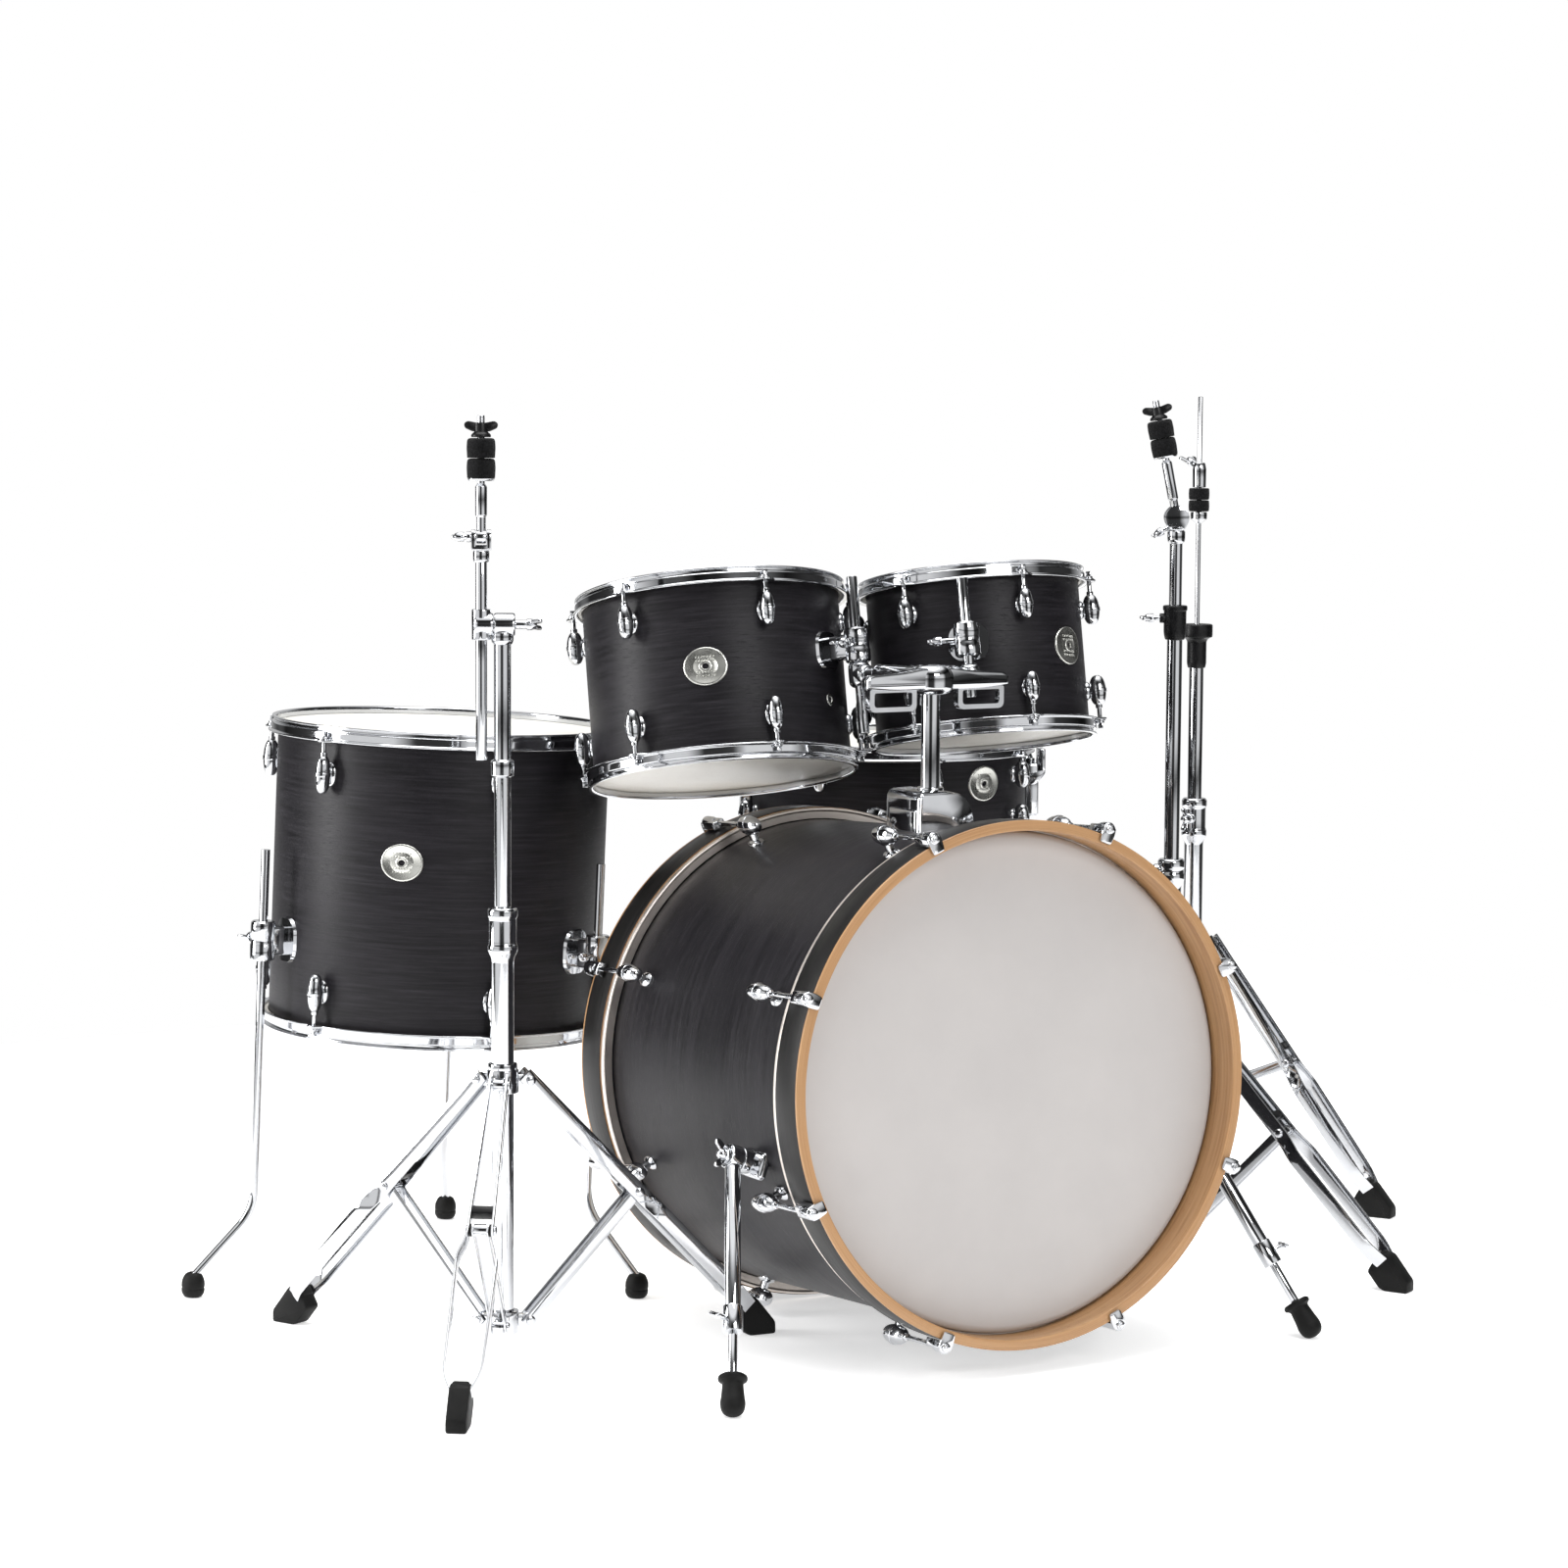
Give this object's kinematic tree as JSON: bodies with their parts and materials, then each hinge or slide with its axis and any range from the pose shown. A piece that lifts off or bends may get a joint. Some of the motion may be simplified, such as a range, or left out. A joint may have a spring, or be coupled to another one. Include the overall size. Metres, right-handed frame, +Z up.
{
  "type": "drum kit",
  "caption": "Acoustic drum kit: bass drum with two rack toms on a holder, floor tom, snare on its stand, two cymbal stands and a hi-hat stand, no cymbals.",
  "frame": {"origin": "on the floor under the middle of the whole kit's bounding box", "axes": "+Z up, +X to the bass drum's left as the drummer sits facing its front, -Y is the way the bass drum's front head faces"},
  "size_m": [1.6001, 1.1241, 1.085],
  "materials": {
    "ebony_shell": "matte open-grain stain",
    "maple_hoop": "satin lacquer",
    "drum_head": "coated film",
    "black_fitting": "satin",
    "chrome_steel": "polished chrome"
  },
  "bodies": {
    "kit": {"bass_shell": "ebony_shell", "bass_hoops": "maple_hoop", "bass_heads": "drum_head", "bass_lugs": "chrome_steel", "bass_claws": "chrome_steel", "spur_brackets": "chrome_steel", "tom_holder_base": "chrome_steel", "floor_tom_shell": "ebony_shell", "floor_tom_heads": "drum_head", "floor_tom_hoops": "chrome_steel", "floor_tom_lugs": "chrome_steel", "floor_leg_brackets": "chrome_steel", "left_stand_base": "chrome_steel", "right_stand_base": "chrome_steel", "right_stand_legs": "chrome_steel", "hihat_stand_base": "chrome_steel", "snare_stand_base": "chrome_steel"},
    "spur_left": {"spur_left": "chrome_steel"},
    "spur_right": {"spur_right": "chrome_steel"},
    "tom_post": {"tom_post": "chrome_steel", "tom_holder_head": "chrome_steel"},
    "tom_arm_left": {"tom_arm_left": "chrome_steel"},
    "tom_arm_right": {"tom_arm_right": "chrome_steel"},
    "large_tom": {"large_tom_shell": "ebony_shell", "large_tom_heads": "drum_head", "large_tom_hoops": "chrome_steel", "large_tom_lugs": "chrome_steel", "large_tom_bracket": "chrome_steel"},
    "small_tom": {"small_tom_shell": "ebony_shell", "small_tom_heads": "drum_head", "small_tom_hoops": "chrome_steel", "small_tom_lugs": "chrome_steel", "small_tom_bracket": "chrome_steel"},
    "floor_leg_1": {"floor_leg_1": "chrome_steel"},
    "floor_leg_2": {"floor_leg_2": "chrome_steel"},
    "floor_leg_3": {"floor_leg_3": "chrome_steel"},
    "left_collar": {"left_collar": "chrome_steel"},
    "left_leg_1": {"left_leg_1": "chrome_steel"},
    "left_leg_2": {"left_leg_2": "chrome_steel"},
    "left_leg_3": {"left_leg_3": "chrome_steel"},
    "left_brace_1": {"left_brace_1": "chrome_steel"},
    "left_brace_2": {"left_brace_2": "chrome_steel"},
    "left_brace_3": {"left_brace_3": "chrome_steel"},
    "left_mid_tube": {"left_mid_tube": "chrome_steel"},
    "left_boom_clamp": {"left_boom_clamp": "chrome_steel"},
    "left_boom_arm": {"left_boom_arm": "chrome_steel"},
    "left_cymbal_seat": {"left_cymbal_seat": "black_fitting"},
    "right_mid_tube": {"right_mid_tube": "chrome_steel"},
    "right_top_tube": {"right_top_tube": "chrome_steel"},
    "right_cymbal_seat": {"right_cymbal_seat": "black_fitting"},
    "hihat_upper_tube": {"hihat_upper_tube": "chrome_steel"},
    "hihat_rod": {"hihat_rod": "chrome_steel"},
    "hihat_footboard": {"hihat_footboard": "chrome_steel"},
    "snare": {"snare_basket": "chrome_steel", "snare_shell": "ebony_shell", "snare_heads": "drum_head", "snare_hoops": "chrome_steel", "snare_lugs": "chrome_steel", "snare_strainer": "chrome_steel"},
    "strainer_lever": {"strainer_lever": "chrome_steel"}
  },
  "joints": [
    {"name": "spur_left_fold", "type": "hinge", "parent": "kit", "child": "spur_left", "pos_m": [-0.42, -0.398, 0.25], "axis": [0.9419, 0.0421, -0.3334], "range_deg": [0, 75]},
    {"name": "spur_right_fold", "type": "hinge", "parent": "kit", "child": "spur_right", "pos_m": [0.188, -0.398, 0.25], "axis": [0.9419, -0.0421, 0.3334], "range_deg": [0, 75]},
    {"name": "tom_post_height", "type": "slide", "parent": "kit", "child": "tom_post", "axis": [0, 0, 1], "range_m": [-0.012, 0.08]},
    {"name": "large_tom_tilt", "type": "hinge", "parent": "tom_post", "child": "tom_arm_left", "pos_m": [-0.116, -0.315, 0.762], "axis": [-0.2534, 0.9674, 0], "range_deg": [-7, 2]},
    {"name": "small_tom_tilt", "type": "hinge", "parent": "tom_post", "child": "tom_arm_right", "pos_m": [-0.116, -0.315, 0.762], "axis": [0.9597, 0.2809, 0], "range_deg": [-8, 8]},
    {"name": "large_tom_swivel", "type": "hinge", "parent": "tom_arm_left", "child": "large_tom", "pos_m": [-0.14501, -0.20427, 0.762], "axis": [0.0416, 0.2406, 0.9697], "range_deg": [0, 10]},
    {"name": "small_tom_swivel", "type": "hinge", "parent": "tom_arm_right", "child": "small_tom", "pos_m": [-0.05173, -0.29619, 0.762], "axis": [0.0177, 0.1922, 0.9812], "range_deg": [-12, 0]},
    {"name": "floor_leg_1_length", "type": "slide", "parent": "kit", "child": "floor_leg_1", "axis": [0.0377, -0.0137, 0.9992], "range_m": [-0.08, 0.15]},
    {"name": "floor_leg_2_length", "type": "slide", "parent": "kit", "child": "floor_leg_2", "axis": [0.0377, -0.0137, 0.9992], "range_m": [-0.08, 0.075]},
    {"name": "floor_leg_3_length", "type": "slide", "parent": "kit", "child": "floor_leg_3", "axis": [0.0377, -0.0137, 0.9992], "range_m": [-0.08, 0.15]},
    {"name": "left_tripod_fold", "type": "hinge", "parent": "kit", "child": "left_brace_1", "pos_m": [-0.61221, -0.16302, 0.044], "axis": [0.9026, 0.4305, 0], "range_deg": [0, 35]},
    {"name": "left_brace_2_fold", "type": "hinge", "parent": "kit", "child": "left_brace_2", "pos_m": [-0.61629, -0.21482, 0.044], "axis": [-0.8241, 0.5664, 0], "range_deg": [0, 35]},
    {"name": "left_brace_3_fold", "type": "hinge", "parent": "kit", "child": "left_brace_3", "pos_m": [-0.56939, -0.19245, 0.044], "axis": [-0.0785, -0.9969, 0], "range_deg": [0, 35]},
    {"name": "left_leg_1_fold", "type": "hinge", "parent": "left_brace_1", "child": "left_leg_1", "pos_m": [-0.66898, -0.04401, 0.181], "axis": [-0.9026, -0.4305, 0], "range_deg": [0, 70]},
    {"name": "left_leg_2_fold", "type": "hinge", "parent": "left_brace_2", "child": "left_leg_2", "pos_m": [-0.69098, -0.32349, 0.181], "axis": [0.8241, -0.5664, 0], "range_deg": [0, 70]},
    {"name": "left_leg_3_fold", "type": "hinge", "parent": "left_brace_3", "child": "left_leg_3", "pos_m": [-0.43794, -0.2028, 0.181], "axis": [0.0785, 0.9969, 0], "range_deg": [0, 70]},
    {"name": "left_collar_slide", "type": "hinge", "parent": "left_leg_1", "child": "left_collar", "pos_m": [-0.61221, -0.16302, 0.318], "axis": [0.9026, 0.4305, 0], "range_deg": [0, 35]},
    {"name": "left_tube_height", "type": "slide", "parent": "kit", "child": "left_mid_tube", "axis": [0, 0, 1], "range_m": [-0.11, 0.2]},
    {"name": "left_boom_angle", "type": "hinge", "parent": "left_mid_tube", "child": "left_boom_clamp", "pos_m": [-0.5993, -0.1901, 0.83], "axis": [-0.9026, 0.4305, 0], "range_deg": [-90, 90]},
    {"name": "left_boom_length", "type": "slide", "parent": "left_boom_clamp", "child": "left_boom_arm", "axis": [0, 0, 1], "range_m": [-0.04, 0.12]},
    {"name": "left_cymbal_tilt", "type": "hinge", "parent": "left_boom_arm", "child": "left_cymbal_seat", "pos_m": [-0.62033, -0.18007, 0.927], "axis": [-0.9026, 0.4305, 0], "range_deg": [-80, 80]},
    {"name": "right_tube_height", "type": "slide", "parent": "kit", "child": "right_mid_tube", "axis": [0, 0, 1], "range_m": [-0.15, 0.17]},
    {"name": "right_top_tube_height", "type": "slide", "parent": "right_mid_tube", "child": "right_top_tube", "axis": [0, 0, 1], "range_m": [-0.07, 0.12]},
    {"name": "right_cymbal_tilt", "type": "hinge", "parent": "right_top_tube", "child": "right_cymbal_seat", "pos_m": [0.369, -0.11, 0.936], "axis": [-0.5, -0.866, 0], "range_deg": [-60, 40]},
    {"name": "hihat_tube_height", "type": "slide", "parent": "kit", "child": "hihat_upper_tube", "axis": [0, 0, 1], "range_m": [-0.1, 0.06]},
    {"name": "hihat_pedal", "type": "hinge", "parent": "kit", "child": "hihat_footboard", "pos_m": [0.47402, 0.46441, 0.024], "axis": [0.848, 0.5299, 0], "range_deg": [0, 12], "stiffness_Nm_per_rad": 12, "springref_deg": -22.92},
    {"name": "hihat_rod_slide", "type": "slide", "parent": "kit", "child": "hihat_rod", "axis": [0, 0, -1], "range_m": [0, 0.06]},
    {"name": "snare_height", "type": "slide", "parent": "kit", "child": "snare", "axis": [0, 0, 1], "range_m": [-0.015, 0.08]},
    {"name": "strainer_lever_throw", "type": "hinge", "parent": "snare", "child": "strainer_lever", "pos_m": [0.33292, 0.15935, 0.588], "axis": [0.4067, 0.9135, 0], "range_deg": [0, 85]}
  ],
  "couplings": [
    {"joint": "left_brace_2_fold", "follows": "left_tripod_fold", "ratio": 1},
    {"joint": "left_brace_3_fold", "follows": "left_tripod_fold", "ratio": 1},
    {"joint": "left_leg_1_fold", "follows": "left_tripod_fold", "ratio": 2},
    {"joint": "left_leg_2_fold", "follows": "left_tripod_fold", "ratio": 2},
    {"joint": "left_leg_3_fold", "follows": "left_tripod_fold", "ratio": 2},
    {"joint": "left_collar_slide", "follows": "left_tripod_fold", "ratio": 1},
    {"joint": "hihat_rod_slide", "follows": "hihat_pedal", "m_per_rad": 0.26}
  ]
}
